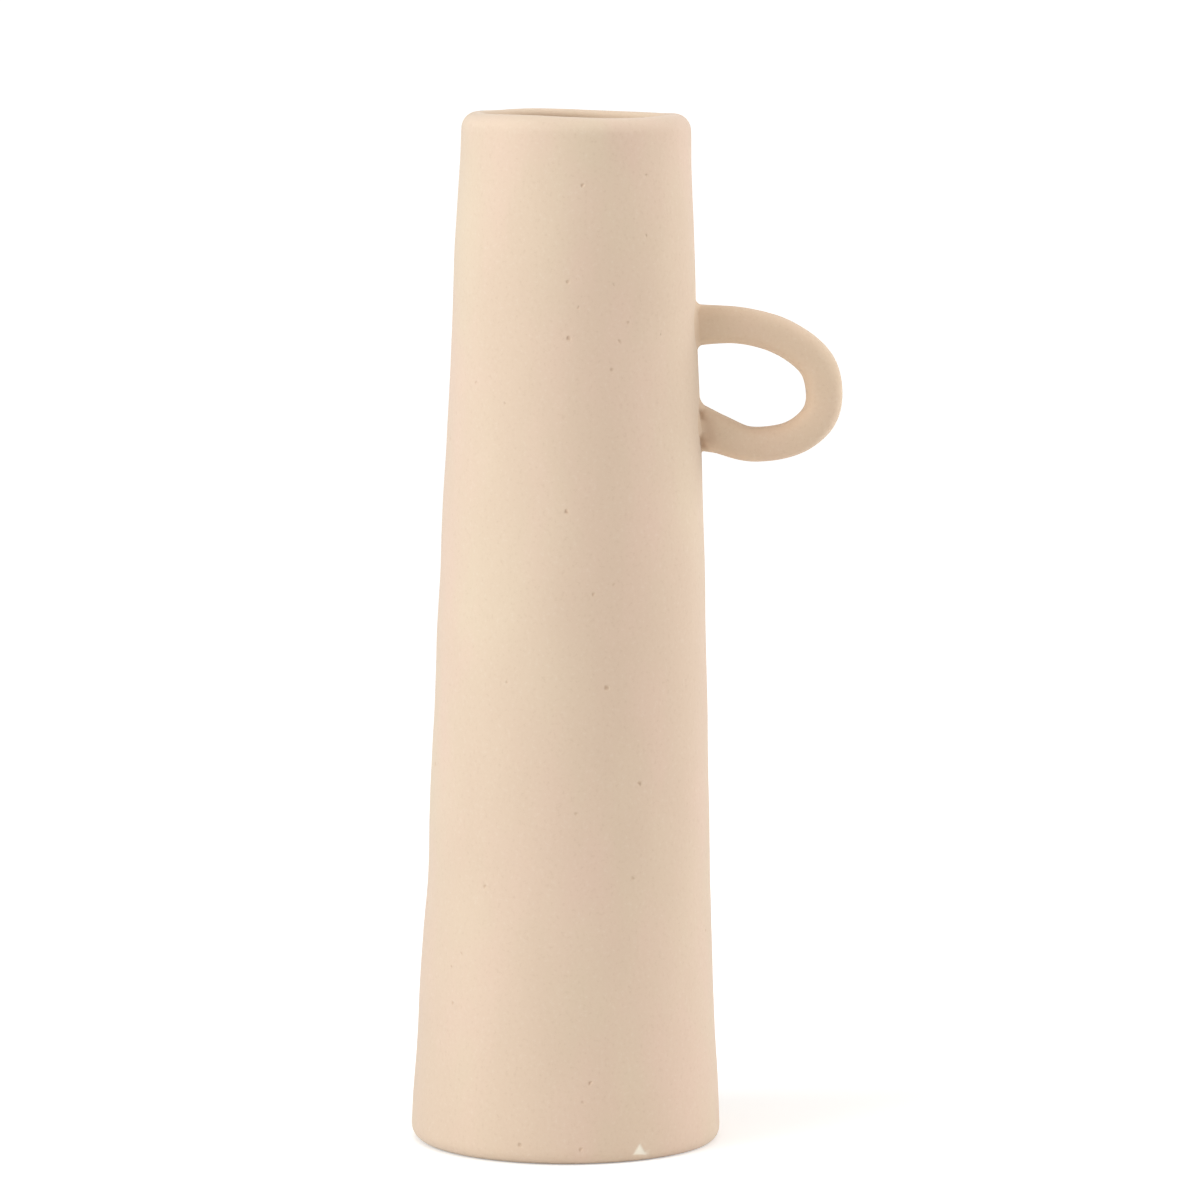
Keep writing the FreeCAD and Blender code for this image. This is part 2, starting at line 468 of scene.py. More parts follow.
chip_across = sum(corner[0] for corner in CHIP_CORNERS) / len(CHIP_CORNERS)
chip_down = sum(corner[1] for corner in CHIP_CORNERS) / len(CHIP_CORNERS)
chip_place = wall_tree.ray_cast(camera_place, sight_line(chip_across, chip_down))[0]
near_chip = []
for edge in wall_bm.edges:
    if max((corner.co - chip_place).length for corner in edge.verts) < chip_zone:
        near_chip.append(edge)
bmesh.ops.subdivide_edges(wall_bm, edges=near_chip, cuts=CHIP_CUTS, use_grid_fill=True)
chip_inward = Vector((-chip_place.x, -chip_place.y, 0.0)).normalized()
chipped = 0
for vert in wall_bm.verts:
    if (vert.co - chip_place).length < chip_zone:
        depth = depth_in_triangle(seen_at(vert.co), CHIP_CORNERS)
        weight = min(max(depth / CHIP_FADE, 0.0), 1.0)
        vert.co += chip_inward * chip_depth * weight
        vert[chip_layer] = weight
        chipped += weight > 0.0
print("chip of", chipped, "vertices at", [round(value, 4) for value in chip_place])

wall_tree = BVHTree.FromBMesh(wall_bm)
vase_wall = finish_piece("vase_wall", wall_bm, "body_wall")

# %% [markdown]
# ## The base and its corner coil
#
# The base is a disc of clay set inside the foot, a little up from the table, so that the vase
# stands on a ring and does not rock. It shows from above, down the mouth, and from below. The
# coil pressed into the corner above it is smoothed with a finger, which leaves a hollow curve
# with a slight wave. Both are spun, like the wall, and leaned with it.

# %% Make the base disc
foot_recess = 1.6 * MM
base_thickness = 7.0 * MM
base_top = foot_recess + base_thickness
base_row = 3.0 * MM
base_dent, base_dent_size = 0.18 * MM, 14.0 * MM
# How far each piece inside the wall runs into the clay that it is joined to
tuck = 0.4 * MM

base_bm = bmesh.new()
corner_wire(base_bm, [
    (0.0, foot_recess, 0.0, 0),
    (inner_radius(foot_recess) + tuck, foot_recess, 0.0, 0),
    (inner_radius(base_top) + tuck, base_top, 0.0, 0),
    (0.0, base_top, 0.0, 0),
], closed=False)
split_long_edges(base_bm, lambda edge: base_row)
spin_round(base_bm, WALL_STEPS // 2)
for vert in base_bm.verts:
    reach = Vector((vert.co.x, vert.co.y, 0.0)).length
    if reach < inner_radius(base_top) - tuck:
        vert.co.z += base_dent * hand_noise(vert.co, base_dent_size, seed=5.0)
lean_over(base_bm)
base_disc = finish_piece("vase_base", base_bm, "base_disc")

# %% Make the corner coil
coil_height = 5.5 * MM
coil_edge = 0.6 * MM
coil_top = base_top + coil_height
coil_toe = inner_radius(coil_top) - coil_height
# The hollow that the finger leaves: how far up the slope it lies, how far under it, and its
# bend; its share of the thin edge at top and toe; and how much the finger wavered
HOLLOW_OUT, HOLLOW_UP = 0.72, 0.28
hollow_bend = 2.6 * MM
EDGE_SHARE = 0.35
coil_row = 2.0 * MM
coil_dent, coil_dent_size = 0.3 * MM, 11.0 * MM

corner_bm = bmesh.new()
corner_wire(corner_bm, [
    (inner_radius(coil_top) + tuck, coil_top, 0.0, 0),
    (inner_radius(coil_top) - EDGE_SHARE * coil_edge, coil_top, 0.0, 0),
    (coil_toe + HOLLOW_OUT * coil_height, base_top + HOLLOW_UP * coil_height, hollow_bend, 6),
    (coil_toe, base_top + EDGE_SHARE * coil_edge, 0.0, 0),
    (coil_toe, base_top - tuck, 0.0, 0),
    (inner_radius(base_top) + tuck, base_top - tuck, 0.0, 0),
], closed=True)
split_long_edges(corner_bm, lambda edge: coil_row)
spin_round(corner_bm, WALL_STEPS // 2)
for vert in corner_bm.verts:
    reach = Vector((vert.co.x, vert.co.y, 0.0))
    if coil_toe - tuck < reach.length < inner_radius(coil_top) - tuck:
        dent = coil_dent * hand_noise(vert.co, coil_dent_size, seed=6.0)
        vert.co += reach.normalized() * dent
lean_over(corner_bm)
corner_coil = finish_piece("vase_corner_coil", corner_bm, "corner_coil")

# %% [markdown]
# ## The handle
#
# The handle is a coil rolled under the palm, cut to length and bent. Such a coil is never quite
# round: it was pressed a little flat, it is thinner along the bend, and it swells where its ends
# were pushed onto the wall. A bevelled curve keeps one profile from end to end, so here one ring
# of vertices is extruded from station to station along a smooth line instead, and each new ring
# is placed and sized by itself.

# %% Follow the handle's middle line
coil_thickness = 10.2 * MM
coil_flattening = 0.6 * MM
upper_root = 238.8 * MM
root_spacing = 30.3 * MM
handle_projection = 42.7 * MM
root_place = outer_radius(upper_root) + rim_lean * upper_root / vase_height
loop_reach = handle_projection - coil_thickness / 2.0

# Share of the line's length, then how far out and how far down it lies there, as shares of the
# loop's reach and of the distance between its roots
LOOP_LINE = (
    (0.00, 0.00, 0.000),
    (0.11, 0.34, 0.005),
    (0.22, 0.665, 0.110),
    (0.33, 0.925, 0.350),
    (0.44, 1.00, 0.645),
    (0.56, 0.950, 0.900),
    (0.67, 0.745, 1.095),
    (0.78, 0.43, 1.146),
    (0.89, 0.18, 1.045),
    (1.00, 0.00, 0.975),
)
# Share of the line's length, and the coil's thickness there as a share of its own
LOOP_SWELL = (
    (0.00, 1.17), (0.06, 1.10), (0.13, 1.05), (0.25, 1.05), (0.38, 1.06), (0.50, 1.05),
    (0.62, 1.02), (0.72, 0.99), (0.80, 1.00), (0.88, 1.10), (0.95, 1.27), (1.00, 1.34),
)
RING_POINTS = 40
LOOP_STATIONS = 72
# The line's direction at a place is read from this share of its length before and after
HEADING_STEP = 0.01


def loop_point(share):
    """A place on the handle's middle line."""
    out = smooth_between(LOOP_LINE, share, 1)
    down = smooth_between(LOOP_LINE, share, 2)
    return Vector((root_place + loop_reach * out, 0.0, upper_root - root_spacing * down))


def loop_heading(share):
    """The direction of the handle's middle line, which is level where it enters the wall."""
    ahead = loop_point(min(share + HEADING_STEP, 1.0))
    behind = loop_point(max(share - HEADING_STEP, 0.0))
    return (ahead - behind).normalized()


def loop_frame(share):
    """The place and the three directions of the coil's ring: side, outward and along."""
    along = loop_heading(share)
    side = Vector((0.0, 1.0, 0.0))
    outward = along.cross(side).normalized()
    turn = Matrix((side, outward, along)).transposed().to_4x4()
    return Matrix.Translation(loop_point(share)) @ turn


print("handle stands", round(handle_projection / MM, 1), "mm off the wall")

# %% Rings of the coil
# A power of 1 is a plain oval, and a smaller one presses the coil towards a soft square
PRESSED_POWER = 0.76
# How deep and how wide the dents of the palm and of the fingertips are
palm_depth, palm_size = 0.17 * MM, 10.0 * MM
finger_depth, finger_size = 0.05 * MM, 3.5 * MM


def pressed(value):
    """A sine or cosine, filled out so that the ring gets soft flats."""
    return math.copysign(abs(value) ** PRESSED_POWER, value)


def place_ring(verts, frame_here, thickness):
    """Puts a ring of vertices round the line, a little wider than it is thick."""
    for n, vert in enumerate(verts):
        turn = 2.0 * math.pi * n / len(verts)
        wide = (thickness + coil_flattening) / 2.0 * pressed(math.cos(turn))
        thick = thickness / 2.0 * pressed(math.sin(turn))
        vert.co = frame_here @ Vector((wide, thick, 0.0))


def extrude_ring(bm, verts):
    """Extrudes a closed ring of vertices and returns the new ring in the same order."""
    edges = [bm.edges.get((verts[n - 1], verts[n])) for n in range(len(verts))]
    made = bmesh.ops.extrude_edge_only(bm, edges=edges)["geom"]
    fresh = [item for item in made if isinstance(item, bmesh.types.BMVert)]
    return [min(fresh, key=lambda v: (v.co - old.co).length_squared) for old in verts]


# %% Extrude the coil along its line
# How deep both ends run on into the wall
end_depth = 4.0 * MM
loop_bm = bmesh.new()
first = bmesh.ops.create_circle(loop_bm, segments=RING_POINTS, radius=coil_thickness / 2.0)
ring = first["verts"]
stations = [n / LOOP_STATIONS for n in range(LOOP_STATIONS + 1)]
into_wall = Matrix.Translation(Vector((-end_depth, 0.0, 0.0)))
place_ring(ring, into_wall @ loop_frame(0.0), coil_thickness * LOOP_SWELL[0][1])
start_ring = ring
for share in stations:
    ring = extrude_ring(loop_bm, ring)
    thickness = coil_thickness * smooth_between(LOOP_SWELL, share, 1)
    place_ring(ring, loop_frame(share), thickness)
ring = extrude_ring(loop_bm, ring)
place_ring(ring, into_wall @ loop_frame(1.0), coil_thickness * LOOP_SWELL[-1][1])
bmesh.ops.contextual_create(loop_bm, geom=start_ring)
bmesh.ops.contextual_create(loop_bm, geom=ring)
bmesh.ops.recalc_face_normals(loop_bm, faces=loop_bm.faces)
for vert in loop_bm.verts:
    dent = palm_depth * hand_noise(vert.co, palm_size, seed=7.0)
    dent += finger_depth * hand_noise(vert.co, finger_size, seed=8.0)
    vert.co += vert.normal * dent
loop_pit_shade = loop_bm.verts.layers.float.new("pit_shade")
print("handle coil", len(loop_bm.faces), "faces")

# %% [markdown]
# ## The crease at the lower root
#
# Where the lower end was bent onto the wall, the clay folded and was never quite smoothed out:
# the photograph shows one slanting crease there, and two dark hollows beside the wall. They are
# dents in the coil's mesh, each a smooth hollow round a short line on its front side, and their
# darkness is painted shade as well as the shade of the dent itself.

# %% Press the crease and the hollows into the coil
# Each mark: where it starts and ends in the photograph, then its width, its depth and its painted
# shade
CREASE = ((706.5, 421), (710, 439), 2.6 * MM, 0.45 * MM, 0.42)
HOLLOWS = (
    ((701.5, 411.5), (703, 418), 1.3 * MM, 0.8 * MM, 1.0),
    ((702, 438.5), (703, 448), 1.5 * MM, 0.9 * MM, 1.0),
)
# How many widths away from its line a mark still reaches, and how steeply it fades
MARK_REACH = 2.0
MARK_FALL = 2.0


def press_mark(bm, mark, layer):
    """Dents a mesh along a short line seen in the photograph, deepest and with most painted shade
    on it.
    """
    begin, finish, width, depth, tint = mark
    tree = BVHTree.FromBMesh(bm)
    start = tree.ray_cast(camera_place, sight_line(*begin))[0]
    end = tree.ray_cast(camera_place, sight_line(*finish))[0]
    if not (start and end):
        print("mark missed the piece:", begin, finish)
        return
    length = (end - start).length
    heading = (end - start).normalized()
    bm.normal_update()
    for vert in bm.verts:
        along = min(max((vert.co - start).dot(heading), 0.0), length)
        away = (vert.co - (start + heading * along)).length
        if away < MARK_REACH * width:
            weight = math.exp(-MARK_FALL * (away / width) ** 2)
            vert.co -= vert.normal * depth * weight
            # Painted shade along the mark, strongest on its line
            vert[layer] = max(vert[layer], tint * weight)
    print("mark pressed at height", round(start.z, 4))


for mark in (CREASE,) + HOLLOWS:
    press_mark(loop_bm, mark, loop_pit_shade)
handle = finish_piece("vase_handle", loop_bm, "handle_loop")

# %% [markdown]
# ## The clay worked in round the roots
#
# A potter scores both faces, wets them, presses the coil on and works the squeezed-out slip into
# the corner. What is left is a small hollow skirt that meets the coil and the wall without a
# step. Each skirt is a ring swept round the root: at every angle three places are found, on the
# coil, in the corner and on the wall, and a curve is drawn from the first to the last with the
# middle one as its control point, so that it leaves both surfaces along their own direction.

# %% The width and the curve of a skirt
# How much the width varies round the root, and how often
SKIRT_VARIES, SKIRT_LOBES = 0.22, 1.4
UPWARD = math.radians(90.0)


def skirt_width(turn, reach, extra, seed):
    """How far a skirt spreads at an angle round the root, uneven and with extra on its top."""
    around = Vector((math.cos(turn), math.sin(turn), 0.0))
    uneven = 1.0 + SKIRT_VARIES * noise.noise(around * SKIRT_LOBES + noise_origin * seed)
    towards = max(math.cos(turn - UPWARD), 0.0)
    return reach * uneven + extra * towards * towards


def skirt_curve(top, corner, bottom, t):
    """A place on the hollow curve from the coil to the wall, which the corner pulls inwards."""
    return top * (1.0 - t) ** 2 + corner * 2.0 * t * (1.0 - t) + bottom * t * t


# %% Sweep a skirt round a root
SKIRT_POINTS = 64
SKIRT_ROWS = 7
# How far the skirt's edges sink into wall and coil, and how deep its hidden back lies
sink = 0.12 * MM
skirt_root = 1.2 * MM
# How many coil thicknesses off the wall the search for its places starts
SEARCH_FROM = 3.0


def make_skirt(share, reach, extra, seed):
    """A hollow ring of clay in the corner between the wall and one root of the handle."""
    root = loop_point(share)
    swollen = coil_thickness * smooth_between(LOOP_SWELL, share, 1)
    bm = bmesh.new()
    ring = bmesh.ops.create_circle(bm, segments=SKIRT_POINTS, radius=swollen)["verts"]
    first_ring = ring
    rows = [[] for row in range(SKIRT_ROWS + 2)]
    for n in range(SKIRT_POINTS):
        turn = 2.0 * math.pi * n / SKIRT_POINTS
        spread = skirt_width(turn, reach, extra, seed)
        wide = (swollen + coil_flattening) / 2.0 * pressed(math.cos(turn))
        across = Vector((0.0, wide, swollen / 2.0 * pressed(math.sin(turn))))
        slant = across.normalized()
        inward = Vector((-1.0, 0.0, 0.0))
        start = root + across + Vector((SEARCH_FROM * swollen, 0.0, 0.0))
        corner = wall_tree.ray_cast(start, inward)[0]
        foot = wall_tree.ray_cast(start + slant * spread, inward)[0]
        on_coil = corner + Vector((spread, 0.0, 0.0))
        nearest = loop_surface.find_nearest(on_coil)[0]
        top = nearest - slant * sink
        bottom = foot + inward * sink
        for row in range(SKIRT_ROWS):
            t = row / (SKIRT_ROWS - 1)
            rows[row].append(skirt_curve(top, corner, bottom, t))
        rows[SKIRT_ROWS].append(foot + inward * skirt_root)
        rows[SKIRT_ROWS + 1].append(corner + inward * skirt_root - slant * skirt_root)
    for vert, place in zip(ring, rows[0]):
        vert.co = place
    for places in rows[1:]:
        ring = extrude_ring(bm, ring)
        for vert, place in zip(ring, places):
            vert.co = place
    last = [bm.edges.get((ring[n - 1], ring[n])) for n in range(SKIRT_POINTS)]
    opening = [bm.edges.get((first_ring[n - 1], first_ring[n])) for n in range(SKIRT_POINTS)]
    bmesh.ops.bridge_loops(bm, edges=last + opening)
    bmesh.ops.recalc_face_normals(bm, faces=bm.faces)
    print("skirt at share", share, "of the handle:", len(bm.faces), "faces")
    return bm


# %% Make the two skirts
bpy.context.view_layer.update()
loop_surface = BVHTree.FromObject(handle, bpy.context.evaluated_depsgraph_get())
upper_bm = make_skirt(0.0, reach=1.7 * MM, extra=0.3 * MM, seed=3.0)
upper_luting = finish_piece("upper_luting_skirt", upper_bm, "upper_luting")

lower_bm = make_skirt(1.0, reach=1.5 * MM, extra=1.2 * MM, seed=5.0)
# The lower skirt gets the dents of the two hollows and their painted shade as well
lower_pit_shade = lower_bm.verts.layers.float.new("pit_shade")
for mark in HOLLOWS:
    press_mark(lower_bm, mark, lower_pit_shade)
lower_luting = finish_piece("lower_luting_skirt", lower_bm, "lower_luting")

# %% [markdown]
# ## The clay
#
# Fired, unglazed clay is matt and never one colour. Four things make it look real: broad warm
# and cool patches from the fire, a fine sandy speckle, the marks of making and use, and a grain
# that catches raking light. With the marks go painted shade in the pits, the crease, the hollows
# and the inside, and a painted highlight on the lip's top. The inside pieces also get a darker,
# warmer clay as painted shade. They are made as node groups with named inputs, so that the
# outside, the inside and the handle can share them with their own strengths. All of them read
# Object coordinates or an attribute, and because every piece sits at the origin, the patches run
# on unbroken from one piece to the next.


# %% Helpers for the clay's nodes
def new_group(name, inputs, outputs):
    """An empty node group with named sockets, and its two end nodes."""
    group = bpy.data.node_groups.new(name, "ShaderNodeTree")
    for label, kind, value in inputs:
        socket = group.interface.new_socket(name=label, in_out="INPUT", socket_type=kind)
        if value is not None:
            socket.default_value = value
    for label, kind in outputs:
        group.interface.new_socket(name=label, in_out="OUTPUT", socket_type=kind)
    print("node group:", name)
    return group, group.nodes.new("NodeGroupInput"), group.nodes.new("NodeGroupOutput")


def add_noise(tree, vector, scale, detail, roughness):
    """A noise texture read at a vector."""
    node = tree.nodes.new("ShaderNodeTexNoise")
    node.inputs["Detail"].default_value = detail
    node.inputs["Roughness"].default_value = roughness
    node.inputs["Scale"].default_value = scale
    tree.links.new(vector, node.inputs["Vector"])
    return node


def add_range(tree, value, low, high, to_low=0.0, to_high=1.0):
    """Spreads part of a value's range over another range, and clamps it there."""
    node = tree.nodes.new("ShaderNodeMapRange")
    node.inputs["From Min"].default_value = low
    node.inputs["From Max"].default_value = high
    node.inputs["To Min"].default_value = to_low
    node.inputs["To Max"].default_value = to_high
    tree.links.new(value, node.inputs["Value"])
    return node.outputs["Result"]


def add_mix(tree, factor, first, second, blend="MIX"):
    """Mixes two colours, each a socket or a plain colour."""
    node = tree.nodes.new("ShaderNodeMix")
    node.data_type = "RGBA"
    node.blend_type = blend
    sockets = {"Factor": node.inputs[0], "A": node.inputs[6], "B": node.inputs[7]}
    for label, value in (("Factor", factor), ("A", first), ("B", second)):
        if isinstance(value, bpy.types.NodeSocket):
            tree.links.new(value, sockets[label])
        else:
            sockets[label].default_value = value
    return node.outputs[2]


def add_math(tree, operation, first, second):
    """One step of arithmetic on two sockets."""
    node = tree.nodes.new("ShaderNodeMath")
    node.operation = operation
    tree.links.new(first, node.inputs[0])
    tree.links.new(second, node.inputs[1])
    return node.outputs[0]


# %% Group: fired patches
# Broad patches, taller than wide, that turn the clay from its own colour to cream and to pink
PLAIN_CLAY = (0.74, 0.58, 0.44, 1.0)
PATCH_SQUEEZE = (1.0, 1.0, 0.45)
patches, patches_in, patches_out = new_group("fired patches", [
    ("Vector", "NodeSocketVector", None),
    ("Clay", "NodeSocketColor", PLAIN_CLAY),
    ("Cream", "NodeSocketColor", (0.77, 0.64, 0.47, 1.0)),
    ("Pink", "NodeSocketColor", (0.78, 0.58, 0.45, 1.0)),
    ("Strength", "NodeSocketFloat", 1.0),
], [("Color", "NodeSocketColor")])
squeeze = patches.nodes.new("ShaderNodeMapping")
squeeze.inputs["Scale"].default_value = PATCH_SQUEEZE
patches.links.new(patches_in.outputs["Vector"], squeeze.inputs["Vector"])
patched = patches_in.outputs["Clay"]
# The tint, the noise's scale, detail and roughness, and where its mask starts, ends and stops
for tint, scale, detail, roughness, start, end, most in (
    ("Cream", 26.0, 2.0, 0.5, 0.44, 0.66, 1.0),
    ("Pink", 41.0, 3.0, 0.55, 0.46, 0.68, 0.85),
):
    cloud = add_noise(patches, squeeze.outputs["Vector"], scale, detail, roughness)
    mask = add_range(patches, cloud.outputs["Fac"], start, end, to_high=most)
    mask = add_math(patches, "MULTIPLY", mask, patches_in.outputs["Strength"])
    patched = add_mix(patches, mask, patched, patches_in.outputs[tint])
patches.links.new(patched, patches_out.inputs["Color"])

# %% Group: sandy speckle
# Grains of sand in the clay: a fine, faint mixture of lighter and darker points
DARK_SAND = (0.80, 0.74, 0.68, 1.0)
LIGHT_SAND = (0.30, 0.28, 0.25, 1.0)
speckle, speckle_in, speckle_out = new_group("sandy speckle", [
    ("Vector", "NodeSocketVector", None),
    ("Color", "NodeSocketColor", PLAIN_CLAY),
    ("Amount", "NodeSocketFloat", 0.5),
], [("Color", "NodeSocketColor")])
grain_noise = add_noise(
    speckle, speckle_in.outputs["Vector"], scale=900.0, detail=3.0, roughness=0.7,
)
dark_grain = add_range(speckle, grain_noise.outputs["Fac"], low=0.56, high=0.72)
light_grain = add_range(speckle, grain_noise.outputs["Fac"], low=0.44, high=0.30)
dark_part = add_math(speckle, "MULTIPLY", dark_grain, speckle_in.outputs["Amount"])
light_part = add_math(speckle, "MULTIPLY", light_grain, speckle_in.outputs["Amount"])
darkened = add_mix(speckle, dark_part, speckle_in.outputs["Color"], DARK_SAND, "MULTIPLY")
lightened = add_mix(speckle, light_part, darkened, LIGHT_SAND, "SCREEN")
speckle.links.new(lightened, speckle_out.inputs["Color"])

# %% Group: marks of making, painted shade and highlight
# The lip's top is paler, partly rubbed wear and partly a painted highlight where light from above
# falls on it; painted shade makes the inside warmer and a little darker; pits, the crease and the
# hollows get darker painted shade; and a chip shows fresh clay: each mask mixes its own colour in
marks, marks_in, marks_out = new_group("marks of making, painted shade and highlight", [
    ("Color", "NodeSocketColor", PLAIN_CLAY),
    ("Rubbed lip and highlight", "NodeSocketFloat", 0.0),
    ("Inside", "NodeSocketFloat", 0.0),
    ("Pit shade", "NodeSocketFloat", 0.0),
    ("Chip", "NodeSocketFloat", 0.0),
], [("Color", "NodeSocketColor")])
marked = marks_in.outputs["Color"]
# The rubbed mask is partly a painted highlight, and the inside and pit colours are painted shade
for mask, blend, tint in (
    ("Rubbed lip and highlight", "MIX", (0.79, 0.675, 0.55, 1.0)),
    ("Inside", "MULTIPLY", (1.0, 0.985, 0.95, 1.0)),
    ("Pit shade", "MIX", (0.50, 0.335, 0.225, 1.0)),
    ("Chip", "MIX", (0.98, 0.91, 0.78, 1.0)),
):
    marked = add_mix(marks, marks_in.outputs[mask], marked, tint, blend)
marks.links.new(marked, marks_out.inputs["Color"])

# %% Group: scraped grain
# The relief for the bump: sandy grain, and faint drag lines that a scraper leaves up the wall
DRAG_SQUEEZE = (1.0, 1.0, 0.12)
relief, relief_in, relief_out = new_group("scraped grain", [
    ("Vector", "NodeSocketVector", None),
    ("Grain", "NodeSocketFloat", 0.6),
    ("Drag", "NodeSocketFloat", 0.5),
], [("Height", "NodeSocketFloat")])
sand = add_noise(
    relief, relief_in.outputs["Vector"], scale=700.0, detail=4.0, roughness=0.65,
)
upright = relief.nodes.new("ShaderNodeMapping")
upright.inputs["Scale"].default_value = DRAG_SQUEEZE
relief.links.new(relief_in.outputs["Vector"], upright.inputs["Vector"])
drag = add_noise(relief, upright.outputs["Vector"], scale=240.0, detail=3.0, roughness=0.6)
sand_height = add_math(relief, "MULTIPLY", sand.outputs["Fac"], relief_in.outputs["Grain"])
drag_height = add_math(relief, "MULTIPLY", drag.outputs["Fac"], relief_in.outputs["Drag"])
relief_height = add_math(relief, "ADD", sand_height, drag_height)
relief.links.new(relief_height, relief_out.inputs["Height"])

# %% Mix the clay's materials
# The lip is paler above this share of the height, and by this much at its top: partly rubbed
# wear and partly a painted highlight
RUBBED_AND_HIGHLIT_FROM = 0.984
RUBBED_AND_HIGHLIT_MOST = 0.2
SPECKLE_AMOUNT = 0.28
# The roughness changes between these two, in patches of this scale
ROUGH_LOW, ROUGH_HIGH, ROUGH_SCALE = 0.82, 0.93, 120.0
# Matt clay has little gloss, and its fine dust gives a faint cool sheen at the edges
CLAY_GLOSS = {"Specular IOR Level": 0.25, "Sheen Weight": 0.20, "Sheen Roughness": 0.5}
SHEEN_TINT = (0.85, 0.95, 1.0, 1.0)
BUMP_STRENGTH = 0.6


def place_group(tree, group, values):
    """A node group placed in a material, each input linked to a socket or set to a value."""
    node = tree.nodes.new("ShaderNodeGroup")
    node.node_tree = group
    for label, value in values.items():
        if isinstance(value, bpy.types.NodeSocket):
            tree.links.new(value, node.inputs[label])
        else:
            node.inputs[label].default_value = value
    return node.outputs[0]


def add_attribute(tree, name):
    """A mask that was painted on the mesh, or 0 where the mesh has none of that name."""
    node = tree.nodes.new("ShaderNodeAttribute")
    node.attribute_name = name
    return node.outputs["Fac"]


def clay_material(name, clay, cream, pink, strength, grain, drag, bump_depth):
    """Matt fired clay of one tone."""
    material = bpy.data.materials.new(name)
    material.use_nodes = True
    tree = material.node_tree
    shader = tree.nodes["Principled BSDF"]
    place = tree.nodes.new("ShaderNodeTexCoord").outputs["Object"]
    fired = place_group(tree, patches, {
        "Vector": place, "Clay": clay, "Cream": cream, "Pink": pink, "Strength": strength,
    })
    sandy = place_group(tree, speckle, {
        "Vector": place, "Color": fired, "Amount": SPECKLE_AMOUNT,
    })
    height = tree.nodes.new("ShaderNodeSeparateXYZ")
    tree.links.new(place, height.inputs["Vector"])
    # Paler lip top: rubbed wear and a painted highlight from light above
    rubbed_and_highlit_low = RUBBED_AND_HIGHLIT_FROM * vase_height
    rubbed_and_highlit = add_range(tree, height.outputs["Z"], rubbed_and_highlit_low, vase_height, to_high=RUBBED_AND_HIGHLIT_MOST)
    marked = place_group(tree, marks, {
        "Color": sandy, "Rubbed lip and highlight": rubbed_and_highlit, "Inside": add_attribute(tree, "inside"),
        "Pit shade": add_attribute(tree, "pit_shade"), "Chip": add_attribute(tree, "chip"),
    })
    tree.links.new(marked, shader.inputs["Base Color"])
    rough_noise = add_noise(tree, place, ROUGH_SCALE, detail=2.0, roughness=0.5)
    rough = add_range(tree, rough_noise.outputs["Fac"], 0.3, 0.7, ROUGH_LOW, ROUGH_HIGH)
    tree.links.new(rough, shader.inputs["Roughness"])
    for label, value in CLAY_GLOSS.items():
        shader.inputs[label].default_value = value
    shader.inputs["Sheen Tint"].default_value = SHEEN_TINT
    grained = place_group(tree, relief, {"Vector": place, "Grain": grain, "Drag": drag})
    bump = tree.nodes.new("ShaderNodeBump")
    bump.inputs["Strength"].default_value = BUMP_STRENGTH
    bump.inputs["Distance"].default_value = bump_depth
    tree.links.new(grained, bump.inputs["Height"])
    tree.links.new(bump.outputs["Normal"], shader.inputs["Normal"])
    print("material:", name)
    return material


# %% Three tones of the clay, the inside one darker and warmer as painted shade
outer_clay = clay_material(
    "sand clay outside", clay=(0.742, 0.573, 0.440, 1.0), cream=(0.760, 0.605, 0.458, 1.0),
    pink=(0.775, 0.581, 0.460, 1.0), strength=1.0, grain=0.7, drag=0.5, bump_depth=0.10 * MM,
)
handle_clay = clay_material(
    "sand clay handle", clay=(0.742, 0.560, 0.414, 1.0), cream=(0.752, 0.585, 0.427, 1.0),
    pink=(0.762, 0.565, 0.427, 1.0), strength=1.0, grain=0.8, drag=0.3, bump_depth=0.12 * MM,
)
# The base and the corner coil sit deep inside: their darker, warmer clay is painted shade
shaded_inner_clay = clay_material(
    "sand clay inside, painted shade", clay=(0.68, 0.505, 0.37, 1.0), cream=(0.70, 0.545, 0.395, 1.0),
    pink=(0.71, 0.515, 0.385, 1.0), strength=0.8, grain=0.9, drag=0.7, bump_depth=0.14 * MM,
)
for clay, pieces in (
    (outer_clay, [vase_wall]),
    (shaded_inner_clay, [base_disc, corner_coil]),
    (handle_clay, [handle, upper_luting, lower_luting]),
):
    for piece in pieces:
        piece.data.materials.append(clay)
        print(piece.name, "is of", clay.name)

# %% [markdown]
# ## Floor, background and light
#
# The photograph is a cut-out on pure white. The floor keeps the vase's soft shadow, and both it
# and the world turn white for rays that come from the camera, so the background is white without
# any extra light on the clay. A broad lamp stands to the left and a weaker one to the right,
# which leaves the darkest band a little right of the middle, as in the photograph, and a soft
# lamp high above lights the lip and the top of the handle.

# %% Build the floor
floor_radius = 30.0
FLOOR_TONE = (0.87, 0.87, 0.87, 1.0)
GLOW_TONE = (0.97, 0.985, 1.0, 1.0)
# The floor's own white for the camera: weaker near the vase, where the shadow has to show, and
# how far away from it, in metres, it starts and stops growing
NEAR_GLOW, FAR_GLOW = 0.31, 0.75
glow_start, glow_end = 0.1, 3.0

floor_bm = bmesh.new()
bmesh.ops.create_circle(floor_bm, cap_ends=True, segments=64, radius=floor_radius)
floor_mesh = bpy.data.meshes.new("floor")
floor_bm.to_mesh(floor_mesh)
floor_bm.free()
floor = bpy.data.objects.new("floor", floor_mesh)
bpy.context.scene.collection.objects.link(floor)

floor_material = bpy.data.materials.new("pale floor")
floor_material.use_nodes = True
floor_tree = floor_material.node_tree
floor_shader = floor_tree.nodes["Principled BSDF"]
floor_shader.inputs["Base Color"].default_value = FLOOR_TONE
floor_shader.inputs["Roughness"].default_value = 1.0
floor_shader.inputs["Specular IOR Level"].default_value = 0.0
floor_shader.inputs["Emission Color"].default_value = GLOW_TONE


